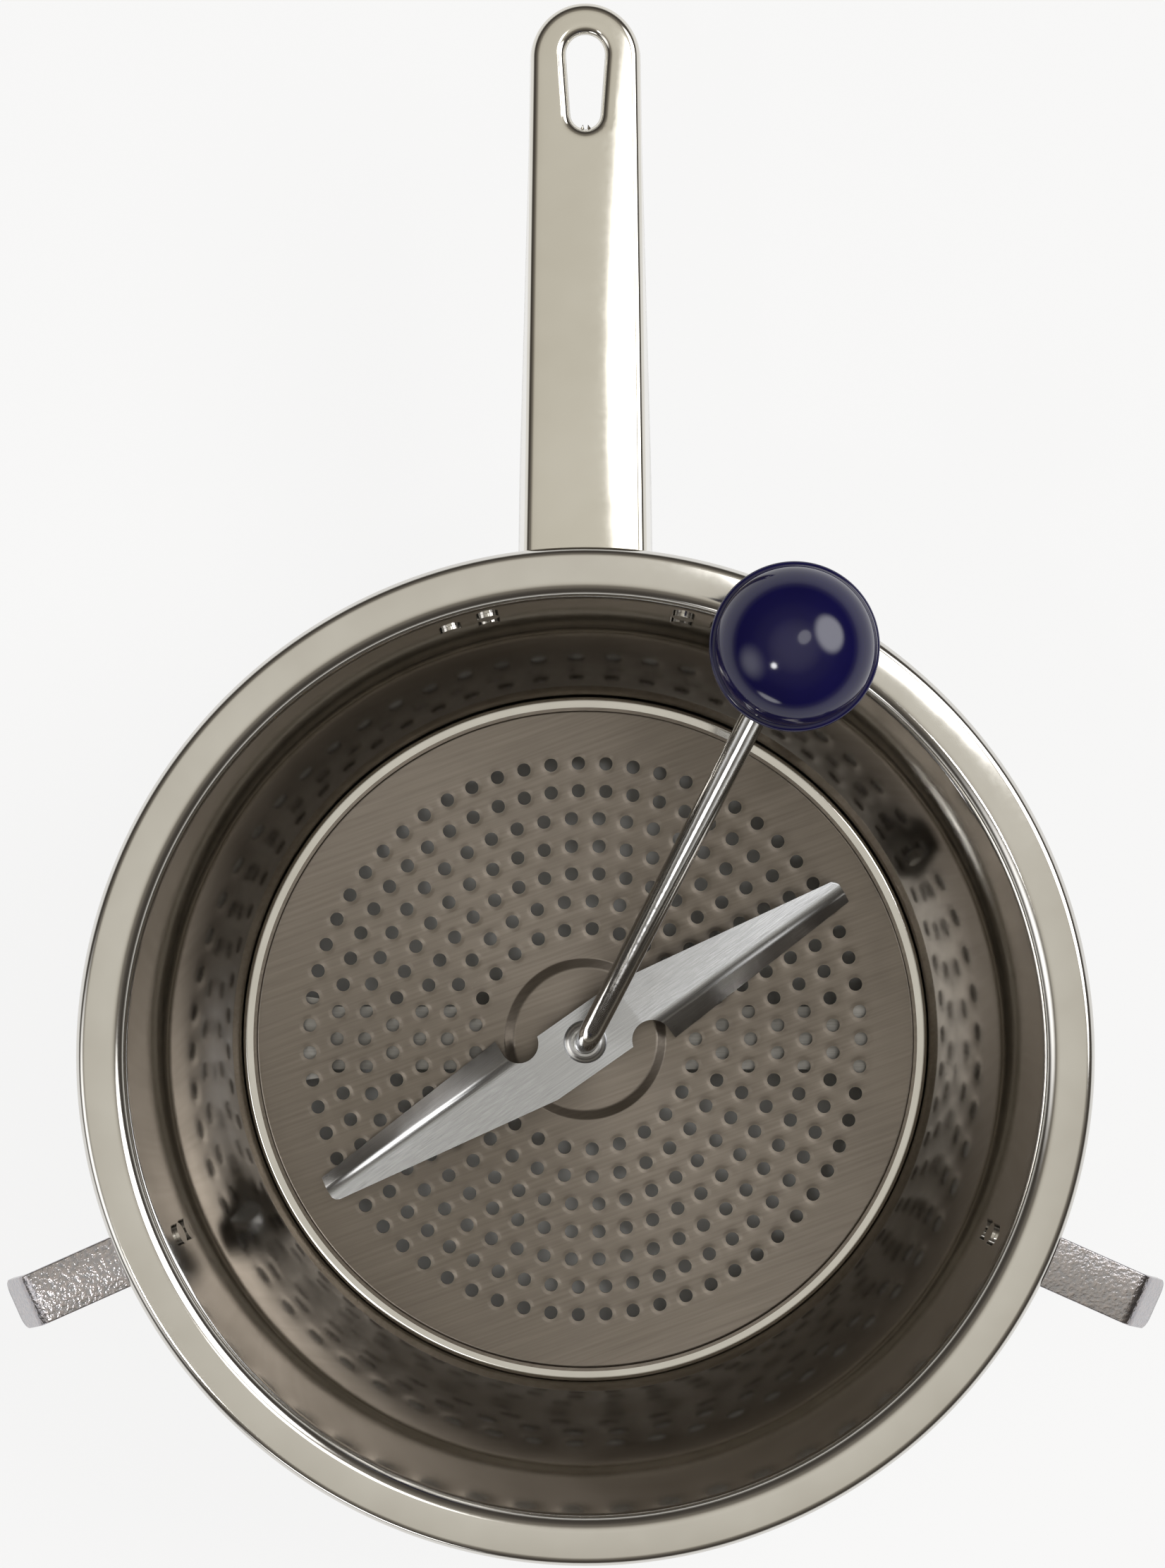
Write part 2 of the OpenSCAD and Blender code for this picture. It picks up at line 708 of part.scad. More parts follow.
// One arm along +X from its fold, its ridge on the -Y side. It starts a little behind
// the fold, inside the hub
module arm() {
    start = -1;
    back_slope = (tip_w - ridge_off - blade_back) / arm_l;
    wing_run = wing_l * cos(wing_fall);
    wing_drop = wing_l * sin(wing_fall);
    intersection() {
        rotate([90, 0, 90]) translate([0, 0, -blade_t]) linear_extrude(arm_l + blade_t)
            polygon(sheet(bent([
                [blade_back + lap, -blade_t / 2, 0],
                [-ridge_off, -blade_t / 2, ridge_bend],
                [-ridge_off - wing_run, -blade_t / 2 - wing_drop, 0]]), blade_t));
        translate([0, 0, -2 * wing_l]) linear_extrude(3 * wing_l)
            polygon(bent([
                [start, blade_back + start * back_slope, 0],
                [arm_l, tip_w - ridge_off, 2],
                [arm_l, -ridge_off - wing_l, 0],
                [start, -ridge_off - wing_l, 0]]));
    }
}

// The notch between the hub and a wing. Its round end bites just into the flat, so
// that only flat sheet joins the arm to the hub
module relief() {
    bite = 0.3;
    notch_y = ridge_off - ridge_bend * tan(wing_fall / 2) - bite + relief_r;
    linear_extrude(2 * hub_top) {
        translate([hub_half, -notch_y]) circle(r = relief_r);
        translate([hub_half - relief_r, -notch_y - wing_l]) square([2 * relief_r, wing_l]);
    }
}

module blade() {
    hub_l = 2 * (hub_half - 0.3);
    hub_w = 2 * blade_back;
    color("#c6c7c9") rotate([0, 0, blade_az]) difference() {
        union() {
            for (turn = [0, 180]) rotate([0, 0, turn]) intersection() {
                translate([hub_half, 0, hub_top]) rotate([0, arm_slope, 0]) arm();
                translate([0, -2 * wing_l, blade_low])
                    cube([2 * blade_r, 2 * wing_l + blade_back, hub_top - blade_low]);
            }
            translate([-hub_l / 2, -blade_back, hub_under]) cube([hub_l, hub_w, blade_t]);
        }
        for (turn = [0, 180]) rotate([0, 0, turn]) relief();
        cylinder(r = rod_r + seat_gap, h = 2 * hub_top);
    }
}

// ---- Knob: a lower half with a sleeve, a domed cap over it, a collar and a retainer ----

module on_stem(z) {
    rotate([0, 0, crank_az]) translate([crank_r, 0, z]) rotate_extrude() children();
}

module stem_collar() {
    color("#b4b5b6") on_stem(knob_z - free_gap - collar_t)
        polygon([[rod_r + seat_gap, 0], [rod_r + 1.3, 0], [rod_r + 1.9, 0.6],
                 [rod_r + 1.9, collar_t], [rod_r + seat_gap, collar_t]]);
}

module knob_retainer() {
    color("#b4b5b6") on_stem(retainer_z)
        polygon([[rod_r + seat_gap, 0], [sleeve_r + 1, 0], [sleeve_r + 1, retainer_t],
                 [rod_r + seat_gap, retainer_t]]);
}

// Part of an ellipse that stands on z = low with radius r_low and widens to r_high at z = high
function bowl_curve(r_low, r_high, low, high) =
    let (end = acos(r_low / r_high), depth = (high - low) / sin(end))
    [for (i = [0:14]) let (a = end * (1 - i / 14)) [r_high * cos(a), high - depth * sin(a)]];

module knob_base() {
    inner = bowl_curve(sleeve_r + 1, base_r - knob_wall, knob_floor, knob_base_h);
    color("#17143f") on_stem(knob_z) polygon(concat(
        [[rod_r + run_fit, 0]],
        bowl_curve(knob_foot_r, base_r, 0, knob_base_h),
        [for (i = [14:-1:0]) inner[i]],
        [[sleeve_r, knob_floor], [sleeve_r, sleeve_h], [rod_r + run_fit, sleeve_h]]));
}

module knob_cap() {
    dome_r = base_r + lip_out / 3;
    lip_low = knob_base_h - lip_h / 2;
    lip_high = knob_base_h + lip_h / 2;
    lip_edge = 0.9;
    color("#17143f") on_stem(knob_z) polygon(concat(
        [[base_r + seat_gap, lip_low]],
        arc([knob_r - lip_edge, lip_low + lip_edge], lip_edge, -90, 0),
        arc([knob_r - lip_edge, lip_high - lip_edge], lip_edge, 0, 90),
        [for (i = [0:16]) let (a = 90 * i / 16)
            [dome_r * cos(a), lip_high + (knob_cap_h - lip_h / 2) * sin(a)]],
        [for (i = [0:16]) let (a = 90 * (1 - i / 16))
            [(base_r - knob_wall) * cos(a),
             lip_high + (knob_cap_h - lip_h / 2 - knob_wall) * sin(a)]],
        [[base_r - knob_wall, knob_base_h + seat_gap], [base_r + seat_gap, knob_base_h + seat_gap]]));
}

bowl_shell();
handle();
handle_bracket();
handle_rivets();
leg_left();
leg_right();
leg_rivets();
milling_disc();
retaining_bar();
bar_lug_left();
bar_lug_right();
spring_seat();
coil_spring();
crank_rod();
rod_weld();
blade();
stem_collar();
knob_retainer();
knob_base();
knob_cap();
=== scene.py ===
import math

import bmesh
import bpy
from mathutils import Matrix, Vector


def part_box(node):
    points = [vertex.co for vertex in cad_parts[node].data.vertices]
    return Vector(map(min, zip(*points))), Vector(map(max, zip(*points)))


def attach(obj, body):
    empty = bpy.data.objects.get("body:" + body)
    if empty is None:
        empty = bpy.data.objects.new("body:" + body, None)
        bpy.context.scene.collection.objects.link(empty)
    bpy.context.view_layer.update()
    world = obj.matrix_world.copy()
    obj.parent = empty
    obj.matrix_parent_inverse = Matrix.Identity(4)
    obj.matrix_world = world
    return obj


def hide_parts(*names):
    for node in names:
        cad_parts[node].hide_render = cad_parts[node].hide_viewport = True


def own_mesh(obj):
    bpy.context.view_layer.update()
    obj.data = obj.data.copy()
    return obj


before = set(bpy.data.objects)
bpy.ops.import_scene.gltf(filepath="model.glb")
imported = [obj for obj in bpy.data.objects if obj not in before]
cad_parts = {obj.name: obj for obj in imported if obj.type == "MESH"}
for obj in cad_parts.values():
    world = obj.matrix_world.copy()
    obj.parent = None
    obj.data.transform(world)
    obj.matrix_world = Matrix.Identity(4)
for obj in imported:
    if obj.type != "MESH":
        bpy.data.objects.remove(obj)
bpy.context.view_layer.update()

# ---- Camera ----
# A long lens one metre over the rim, looking straight down at a point between the bowl's
# axis and the root of the handle.
MM = 0.001
rim_top = 88
lens_over_rim = 1000
view_middle = (-0.7, 64.7)
camera = bpy.data.objects.new("camera", bpy.data.cameras.new("camera"))
camera.data.lens = 96.9
camera.data.sensor_width = 36
camera.data.clip_end = 50
camera.location = Vector((*view_middle, rim_top + lens_over_rim)) * MM
bpy.context.scene.collection.objects.link(camera)
bpy.context.scene.camera = camera
bpy.context.scene.view_settings.view_transform = "Standard"


# ---- Studio: table, room and lamps ----
# A broad table, white to the eye, that keeps a soft shadow. The room is white low down,
# dark half-way up and pale overhead. Five lamps with faded edges show in the metal.
def linear(hex_colour):
    """A colour written as sRGB hex, as the linear RGBA that Blender's sockets take."""
    parts = [int(hex_colour[i:i + 2], 16) / 255 for i in (1, 3, 5)]
    return tuple(p / 12.92 if p <= 0.04045 else ((p + 0.055) / 1.055) ** 2.4 for p in parts) + (1,)


def add_node(tree, kind, inputs=None, **settings):
    """Adds a node, sets its settings, and fills or links its inputs."""
    made = tree.nodes.new(kind)
    for name, value in settings.items():
        setattr(made, name, value)
    for socket, value in (inputs or {}).items():
        if isinstance(value, bpy.types.NodeSocket):
            tree.links.new(value, made.inputs[socket])
        else:
            made.inputs[socket].default_value = value
    return made


table_half = 8
table_corners = [(x * table_half, y * table_half, 0) for x, y in ((-1, -1), (1, -1), (1, 1), (-1, 1))]
table_mesh = bpy.data.meshes.new("table")
table_mesh.from_pydata(table_corners, [], [(0, 1, 2, 3)])
table = bpy.data.objects.new("table", table_mesh)
bpy.context.scene.collection.objects.link(table)

# The table glows to the eye and in the metal. The glow fades out towards the collar and is
# gone inside it, a painted shade under the bowl, where the disc's holes look down into the dark.
collar_shade_r, table_open_r, table_glow = 0.079, 0.12, 0.86
white_table = bpy.data.materials.new("white_laminate_table")
white_table.use_nodes = True
tree = white_table.node_tree
tree.nodes.clear()
path = add_node(tree, "ShaderNodeLightPath")
seen = add_node(tree, "ShaderNodeMath",
                {0: path.outputs["Is Camera Ray"], 1: path.outputs["Is Glossy Ray"]}, operation="ADD")
seen_all = add_node(tree, "ShaderNodeMath",
                    {0: seen.outputs[0], 1: path.outputs["Is Transmission Ray"]},
                    operation="ADD", use_clamp=True)
spot = add_node(tree, "ShaderNodeTexCoord")
off_axis = add_node(tree, "ShaderNodeVectorMath", {0: spot.outputs["Object"]}, operation="LENGTH")
open_table = add_node(tree, "ShaderNodeMapRange",
                      {"Value": off_axis.outputs["Value"], "From Min": collar_shade_r,
                       "From Max": table_open_r, "To Min": 0.0, "To Max": table_glow})
glow_share = add_node(tree, "ShaderNodeMath",
                      {0: seen_all.outputs[0], 1: open_table.outputs[0]}, operation="MULTIPLY")
matt = add_node(tree, "ShaderNodeBsdfDiffuse", {"Color": linear("#e9e8e5"), "Roughness": 0.5})
glow = add_node(tree, "ShaderNodeEmission", {"Color": linear("#ffffff"), "Strength": 1.0})
both = add_node(tree, "ShaderNodeMixShader",
                {0: glow_share.outputs[0], 1: matt.outputs[0], 2: glow.outputs[0]})
add_node(tree, "ShaderNodeOutputMaterial", {"Surface": both.outputs[0]})
table_mesh.materials.append(white_table)

# The room's shades go from the horizon, at 0, to straight up, at 1.
room_shades = ((0.06, "#f2f1ee"), (0.14, "#a5a29c"), (0.28, "#4a4642"), (0.6, "#5f5a54"),
               (0.85, "#948e84"), (0.95, "#e3ded2"))
room = bpy.data.worlds.new("studio_room")
bpy.context.scene.world = room
room.use_nodes = True
tree = room.node_tree
tree.nodes.clear()
where = add_node(tree, "ShaderNodeTexCoord")
axes = add_node(tree, "ShaderNodeSeparateXYZ", {0: where.outputs["Generated"]})
shades = add_node(tree, "ShaderNodeValToRGB", {0: axes.outputs["Z"]})
levels = shades.color_ramp
levels.elements[0].position = 0.0
levels.elements[0].color = linear("#ffffff")
levels.elements[1].position = 1.0
levels.elements[1].color = linear("#f4f0e5")
for height, shade in room_shades:
    levels.elements.new(height).color = linear(shade)
air = add_node(tree, "ShaderNodeBackground", {"Color": shades.outputs["Color"], "Strength": 0.8})
add_node(tree, "ShaderNodeOutputWorld", {"Surface": air.outputs[0]})

# Each lamp's name, place and size in metres, roll in degrees, power in watts, and the
# part of its width that is lit evenly before it fades. The strip over the handle is seen
# in the handle's top as a white border.
lamp_aim = Vector((0, 0.06, 0.05))
for name, place, size, roll, power, even_part in (
        ("softbox_right", (1.15, 0.5, 1.45), (1.5, 1.3), 0, 30, 0.6),
        ("strip_over_handle", (0.332, 0.368, 1.75), (0.42, 0.5), 10, 1.7, 0.8),
        ("softbox_left", (-1.3, -0.4, 1.1), (1.5, 1.5), 0, 12, 0.1),
        ("low_strip", (-0.66, -1.35, 0.56), (0.9, 0.3), 0, 3, 0.5),
        ("small_lamp", (-0.6, -0.5, 1.6), (0.22, 0.22), 0, 3.2, 0.7)):
    lamp = bpy.data.objects.new(name, bpy.data.lights.new(name, "AREA"))
    lamp.data.shape = "RECTANGLE"
    lamp.data.size, lamp.data.size_y = size
    lamp.data.energy = power
    lamp.location = place
    lamp.rotation_euler = (lamp_aim - lamp.location).to_track_quat("-Z", "Y").to_euler()
    lamp.rotation_euler.rotate_axis("Z", math.radians(roll))
    lamp.data.use_nodes = True
    tree = lamp.data.node_tree
    tree.nodes.clear()
    on_cloth = add_node(tree, "ShaderNodeNewGeometry")
    off_middle = add_node(tree, "ShaderNodeVectorMath",
                          {0: on_cloth.outputs["Parametric"], 1: (0.5, 0.5, 0.0)}, operation="DISTANCE")
    fade = add_node(tree, "ShaderNodeMapRange",
                    {"Value": off_middle.outputs["Value"], "From Min": even_part / 2, "From Max": 0.5,
                     "To Min": 1.0, "To Max": 0.0}, interpolation_type="SMOOTHSTEP")
    cloth = add_node(tree, "ShaderNodeEmission", {"Color": linear("#ffffff"), "Strength": fade.outputs[0]})
    add_node(tree, "ShaderNodeOutputLight", {"Surface": cloth.outputs[0]})
    bpy.context.scene.collection.objects.link(lamp)


# ---- Bowl ----
# Polished stainless sheet, 0.8 mm, deep-drawn in one piece: a collar with a turned-in
# hem, a ledge for the disc, a round belly, and a flat rim with a rolled bead.
def polished_steel(name, dark, light, roughness, wave_mm, wave_strength):
    """Polished steel: a mirror with faint waves, clearer and duller in patches.

    Real hairlines are too fine to show, so they are drawn as clouds 1.5 mm across.
    """
    scuff_mm, wave_depth = 1.5, 0.6
    made = bpy.data.materials.new(name)
    made.use_nodes = True
    tree = made.node_tree
    tree.nodes.clear()
    place = add_node(tree, "ShaderNodeTexCoord")
    waves = add_node(tree, "ShaderNodeTexNoise",
                     {"Vector": place.outputs["Object"], "Scale": 1 / (wave_mm * MM), "Detail": 2.0})
    scuffs = add_node(tree, "ShaderNodeTexNoise",
                      {"Vector": place.outputs["Object"], "Scale": 1 / (scuff_mm * MM), "Detail": 6.0,
                       "Roughness": 0.7})
    rough = add_node(tree, "ShaderNodeMapRange",
                     {"Value": scuffs.outputs["Fac"], "To Min": roughness * 0.5, "To Max": roughness * 1.6})
    tint = add_node(tree, "ShaderNodeMix", {"Factor": waves.outputs["Fac"]}, data_type="RGBA")
    tint.inputs[6].default_value = linear(dark)
    tint.inputs[7].default_value = linear(light)
    skin_waves = add_node(tree, "ShaderNodeBump",
                          {"Height": waves.outputs["Fac"], "Strength": wave_strength,
                           "Distance": wave_depth * MM})
    skin = add_node(tree, "ShaderNodeBsdfPrincipled",
                    {"Base Color": tint.outputs[2], "Metallic": 1.0, "Roughness": rough.outputs[0],
                     "Normal": skin_waves.outputs[0]})
    add_node(tree, "ShaderNodeOutputMaterial", {"Surface": skin.outputs[0]})
    return made


def rounded(corners, steps=8):
    """A line through corners (x, y, bend radius), each corner rounded by its radius."""
    line = [Vector(corners[0][:2])]
    for before, at, after in zip(corners, corners[1:], corners[2:]):
        back = (Vector(before[:2]) - Vector(at[:2])).normalized()
        ahead = (Vector(after[:2]) - Vector(at[:2])).normalized()
        half = back.angle(ahead) / 2
        middle = Vector(at[:2]) + (back + ahead).normalized() * at[2] / math.sin(half)
        start = Vector(at[:2]) + back * at[2] / math.tan(half) - middle
        end = Vector(at[:2]) + ahead * at[2] / math.tan(half) - middle
        turn = math.atan2(start.x * end.y - start.y * end.x, start.dot(end))
        for i in range(steps + 1):
            a = turn * i / steps
            line.append(middle + Vector((start.x * math.cos(a) - start.y * math.sin(a),
                                         start.x * math.sin(a) + start.y * math.cos(a))))
    return line + [Vector(corners[-1][:2])]


def sheet_section(line, thickness):
    """The closed outline of a sheet whose middle runs along the line."""
    sides = []
    for i, point in enumerate(line):
        ahead = line[min(i + 1, len(line) - 1)] - point
        behind = point - line[max(i - 1, 0)]
        along = (ahead or behind).normalized() + (behind or ahead).normalized()
        along.normalize()
        sides.append(Vector((-along.y, along.x)) * thickness / 2)
    return [p + s for p, s in zip(line, sides)] + [p - s for p, s in reversed(list(zip(line, sides)))]


def make_piece(name, verts, faces, material, body, slot, stands_for, crease_angle=40):
    """A mesh in millimetres, welded and smoothed up to the crease angle, in place of CAD nodes."""
    mesh = bpy.data.meshes.new(name)
    mesh.from_pydata([Vector(v) * MM for v in verts], [], faces)
    welded = bmesh.new()
    welded.from_mesh(mesh)
    bmesh.ops.remove_doubles(welded, verts=welded.verts, dist=1e-6)
    bmesh.ops.dissolve_degenerate(welded, edges=welded.edges, dist=1e-7)
    bmesh.ops.recalc_face_normals(welded, faces=welded.faces)
    welded.to_mesh(mesh)
    welded.free()
    mesh.shade_smooth()
    mesh.set_sharp_from_angle(angle=math.radians(crease_angle))
    mesh.materials.append(material)
    made = bpy.data.objects.new(name, mesh)
    bpy.context.scene.collection.objects.link(made)
    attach(made, body)
    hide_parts(*stands_for)
    return made


def spun(section, axis=(0, 0, 0), turns=192):
    """Vertices and faces of a closed section, (radius, height), turned about a vertical axis."""
    count = len(section)
    verts = [(axis[0] + r * math.cos(2 * math.pi * i / turns),
              axis[1] + r * math.sin(2 * math.pi * i / turns), axis[2] + z)
             for i in range(turns) for r, z in section]
    faces = [(i * count + k, i * count + (k + 1) % count,
              (i + 1) % turns * count + (k + 1) % count, (i + 1) % turns * count + k)
             for i in range(turns) for k in range(count)]
    return verts, faces


bowl_sheet = 0.8
hem_r, hem_line = 75.1, 0.4
collar_r, ledge_r, ledge_line = 78.6, 86.6, 15.6
belly_r, belly_line, belly_bend = 102, 37, 58
wall_top_r, rim_line = 109.6, 87.6
roll_middle, roll_r = 118.6, 2
roll_start, roll_turn, roll_steps = 90, 250, 24
rolled_bead = [Vector((roll_middle, rim_line - roll_r)) + Vector((math.cos(a), math.sin(a))) * roll_r
               for a in (math.radians(roll_start - roll_turn * i / roll_steps)
                         for i in range(1, roll_steps + 1))]
bowl_line = rounded([
    (hem_r, hem_line, 0), (collar_r, hem_line, 1.5), (collar_r, ledge_line, 2), (ledge_r, ledge_line, 2),
    (belly_r, belly_line, belly_bend), (wall_top_r, rim_line, 4), (roll_middle, rim_line, 0)],
    steps=12) + rolled_bead
mirror_steel = polished_steel("hand_polished_stainless", "#cfccc6", "#e2e0dc", 0.09, 16, 0.07)
make_piece("bowl", *spun(sheet_section(bowl_line, bowl_sheet), turns=256),
           mirror_steel, "bowl", "polished_stainless", ["bowl_shell"])


# ---- Handle ----
# Polished stainless sheet, 1 mm, pressed to a channel with a slightly crowned top, a
# round nose and a sunk surround about the hang slot. Half is built, then mirrored.
handle_sheet = 1
handle_top = 82.7
handle_edge = 2.2
nose_x, nose_r = 238, 13
root_x, root_half = 100, 15
slot_tip_x, slot_tip_r = 238.75, 4.65
slot_low_x, slot_low_r = 224.6, 3.6
slot_rim, slot_sink = 3.4, 1.6
crown = 0.7
draft = 1.6 / 15
flange_root, flange_nose = 65.7, 77.7

side_angle = (math.atan2(root_half, root_x - nose_x)
              - math.acos(nose_r / math.dist((root_x, root_half), (nose_x, 0))))
side_out = Vector((math.cos(side_angle), math.sin(side_angle)))
slot_angle = math.acos((slot_low_r - slot_tip_r) / (slot_tip_x - slot_low_x))
slot_out = Vector((math.cos(slot_angle), math.sin(slot_angle)))
slot_along = Vector((slot_out.y, -slot_out.x))
slot_side = (slot_tip_x - slot_low_x) * math.sin(slot_angle)
slot_low, slot_tip = Vector((slot_low_x, 0)), Vector((slot_tip_x, 0))
nose = Vector((nose_x, 0))


def slot_distance(p):
    """How far a point on the handle's top is from the edge of the slot."""
    s = (p - slot_low).dot(slot_along)
    if s < 0:
        return (p - slot_low).length - slot_low_r
    if s < slot_side:
        return (p - slot_low).dot(slot_out) - slot_low_r
    return (p - slot_tip).length - slot_tip_r


def slot_edge(length):
    """The point that lies this far along half of the slot's edge, from the bowl's end."""
    low_arc = slot_low_r * (math.pi - slot_angle)
    if length < low_arc:
        a = math.pi - length / slot_low_r
        return slot_low + Vector((math.cos(a), math.sin(a))) * slot_low_r
    if length < low_arc + slot_side:
        return slot_low + slot_out * slot_low_r + slot_along * (length - low_arc)
    a = slot_angle - (length - low_arc - slot_side) / slot_tip_r
    return slot_tip + Vector((math.cos(a), math.sin(a))) * slot_tip_r


# The plain columns cross the handle square from its middle line. From a little before
# the slot the columns fan out, from the slot's edge to the side and round the nose.
plain_columns, fan_columns = 48, 72
lead = 8
lead_x = slot_low_x - slot_low_r - lead
slot_half_length = slot_low_r * (math.pi - slot_angle) + slot_side + slot_tip_r * slot_angle
side_left = (nose_x - lead_x) / side_out.y
nose_arc = (nose_r - handle_edge) * side_angle
side_end = nose + side_out * (nose_r - handle_edge)
side_back = Vector((-side_out.y, side_out.x))
columns = []
for i in range(plain_columns):
    x = root_x + (lead_x - root_x) * i / plain_columns
    columns.append((Vector((x, 0)), side_end + side_back * ((side_end.x - x) / side_out.y), side_out))
for i in range(fan_columns + 1):
    share = i / fan_columns
    run = share * (side_left + nose_arc)
    if run < side_left:
        out = side_out
        outer = side_end + side_back * (side_left - run)
    else:
        a = side_angle - (run - side_left) / (nose_r - handle_edge)
        out = Vector((math.cos(a), math.sin(a)))
        outer = nose + out * (nose_r - handle_edge)
    inside_run = share * (lead + slot_half_length)
    inner = Vector((lead_x + inside_run, 0)) if inside_run < lead else slot_edge(inside_run - lead)
    columns.append((inner, outer, out))

flange_foot = rounded([(60, flange_root, 0), (140, flange_root, 90),
                       (218, flange_nose, 60), (291, flange_nose, 0)])
across = (0, 0.05, 0.1, 0.16, 0.23, 0.31, 0.4, 0.5, 0.6, 0.7, 0.8, 0.9, 1)
edge_turns = [math.radians(a) for a in (15, 30, 45, 60, 75, 90)]
flange_parts = (0.2, 0.45, 0.7, 1)


def foot_height(x):
    """The height of the flange's lower edge at x."""
    for a, b in zip(flange_foot, flange_foot[1:]):
        if a.x <= x <= b.x and b.x > a.x:
            return a.y + (b.y - a.y) * (x - a.x) / (b.x - a.x)
    return flange_foot[-1].y


# The wall leans out by wall_slope, and the strap's face stands strap_face outside the
# middle of the wall's sheet. The handle's last root_run is drawn in to meet it.
wall_slope = 0.1502
strap_face = 1.8
root_run = 20


def against_wall(x, y, z):
    """Draws the root in, so that it ends on the bracket's strap round the bowl."""
    if x < root_x + root_run:
        wall = math.sqrt((belly_r + (z - belly_line) * wall_slope + strap_face) ** 2 - y * y)
        x = wall + (x - root_x) * (root_x + root_run - wall) / root_run
    return (-y, x, z)


handle_verts, handle_faces = [], []
for mirrored in (1, -1):
    first = len(handle_verts)
    for inner, outer, out in columns:
        column = []
        for v in across:
            p = inner.lerp(outer, v)
            dip = slot_sink * (1 - min(slot_distance(p) / slot_rim, 1)) ** 4
            column.append((p.x, p.y, handle_top - crown * (p.y / root_half) ** 2 - dip))
        edge_z = column[-1][2]
        for a in edge_turns:
            p = outer + out * handle_edge * math.sin(a)
            column.append((p.x, p.y, edge_z - handle_edge * (1 - math.cos(a))))
        low = foot_height(column[-1][0])
        high = column[-1][2]
        for part in flange_parts:
            z = high + (low - high) * part
            p = outer + out * (handle_edge + (high - z) * draft)
            column.append((p.x, p.y, z))
        handle_verts += [against_wall(x, y * mirrored, z) for x, y, z in column]
    rows = len(across) + len(edge_turns) + len(flange_parts)
    for i in range(len(columns) - 1):
        for k in range(rows - 1):
            a = first + i * rows + k
            handle_faces.append((a, a + 1, a + rows + 1, a + rows)[::mirrored])

handle_steel = polished_steel("press_polished_stainless", "#d4d0c6", "#e6e3dc", 0.07, 22, 0.12)
handle = make_piece("handle", handle_verts, handle_faces, handle_steel, "bowl", "polished_stainless",
                    ["handle"], crease_angle=60)
thick = handle.modifiers.new("sheet", "SOLIDIFY")
thick.thickness = handle_sheet * MM
faces_up = sum(p.normal.z * p.area for p in handle.data.polygons) > 0
thick.offset = -1 if faces_up else 1


# ---- Bracket, legs and rivets ----
# The bracket is a satin strap of 1.2 mm stainless with a tongue inside the handle. Each
# leg is a 2 mm tumbled strip, level, with its end bent down. Domed rivets hold them all.
def brushed_steel(name, dark, light, roughness, turn, line_mm=0.35):
    """Steel rubbed along one direction: fine lines that spread the light across them.

    Real lines are too fine to show, so they are drawn line_mm apart, and some 30 times as long.
    """
    cloud_mm, line_depth, line_squeeze = 11, 0.03, 0.03
    made = bpy.data.materials.new(name)
    made.use_nodes = True
    tree = made.node_tree
    tree.nodes.clear()
    place = add_node(tree, "ShaderNodeTexCoord")
    along = add_node(tree, "ShaderNodeMapping",
                     {"Vector": place.outputs["Object"], "Rotation": (0, 0, -math.radians(turn))})
    drawn_out = add_node(tree, "ShaderNodeMapping",
                         {"Vector": along.outputs[0], "Scale": (line_squeeze, 1, 1)})
    lines = add_node(tree, "ShaderNodeTexNoise",
                     {"Vector": drawn_out.outputs[0], "Scale": 1 / (line_mm * MM), "Detail": 3.0})
    clouds = add_node(tree, "ShaderNodeTexNoise",
                      {"Vector": place.outputs["Object"], "Scale": 1 / (cloud_mm * MM), "Detail": 3.0})
    rough = add_node(tree, "ShaderNodeMapRange",
                     {"Value": clouds.outputs["Fac"], "To Min": roughness * 0.7,
                      "To Max": roughness * 1.35})
    tint = add_node(tree, "ShaderNodeMix", {"Factor": lines.outputs["Fac"]}, data_type="RGBA")
    tint.inputs[6].default_value = linear(dark)
    tint.inputs[7].default_value = linear(light)
    cut = add_node(tree, "ShaderNodeBump",
                   {"Height": lines.outputs["Fac"], "Strength": 0.35, "Distance": line_depth * MM})
    skin = add_node(tree, "ShaderNodeBsdfPrincipled",
                    {"Base Color": tint.outputs[2], "Metallic": 1.0, "Roughness": rough.outputs[0],
                     "Anisotropic": 0.4, "Normal": cut.outputs[0]})
    add_node(tree, "ShaderNodeOutputMaterial", {"Surface": skin.outputs[0]})
    return made


def finish_node(name, material, edge_mm=0.0):
    """Gives a CAD node its material and, where the real edge is tumbled, a small rounding."""
    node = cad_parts[name]
    node.data.materials.clear()
    node.data.materials.append(material)
    if edge_mm:
        joined = node.modifiers.new("joined", "WELD")
        joined.merge_threshold = 0.002 * MM
        soft = node.modifiers.new("tumbled_edge", "BEVEL")
        soft.width = edge_mm * MM
        soft.segments = 2
        soft.limit_method = "ANGLE"
        soft.angle_limit = math.radians(50)
        node.modifiers.new("even", "WEIGHTED_NORMAL")


bracket_steel = brushed_steel("pressed_satin_stainless", "#bdbcba", "#dcdbd9", 0.25, 0)
finish_node("handle_bracket", bracket_steel)

# The strip's middle runs up leg_line_gap outside the middle of the wall's sheet, from
# leg_foot, and turns level at leg_level. It bends down at leg_out from the axis.
leg_w, leg_t, leg_edge, leg_corner = 12.8, 2, 0.35, 3
leg_line_gap, leg_bend = 1.45, 3
leg_foot, leg_level, leg_out = 61.7, 78.7, 144.3
leg_tip_l, leg_tip_fall = 14, math.radians(65)
leg_turn = math.radians(24)
leg_step = 1.5


def beside_wall(z, d):
    """The radius at height z of a line that runs d outside the middle of the wall's sheet."""
    lean = math.atan(wall_slope)
    return belly_r + (z + d * math.sin(lean) - belly_line) * wall_slope + d * math.cos(lean)


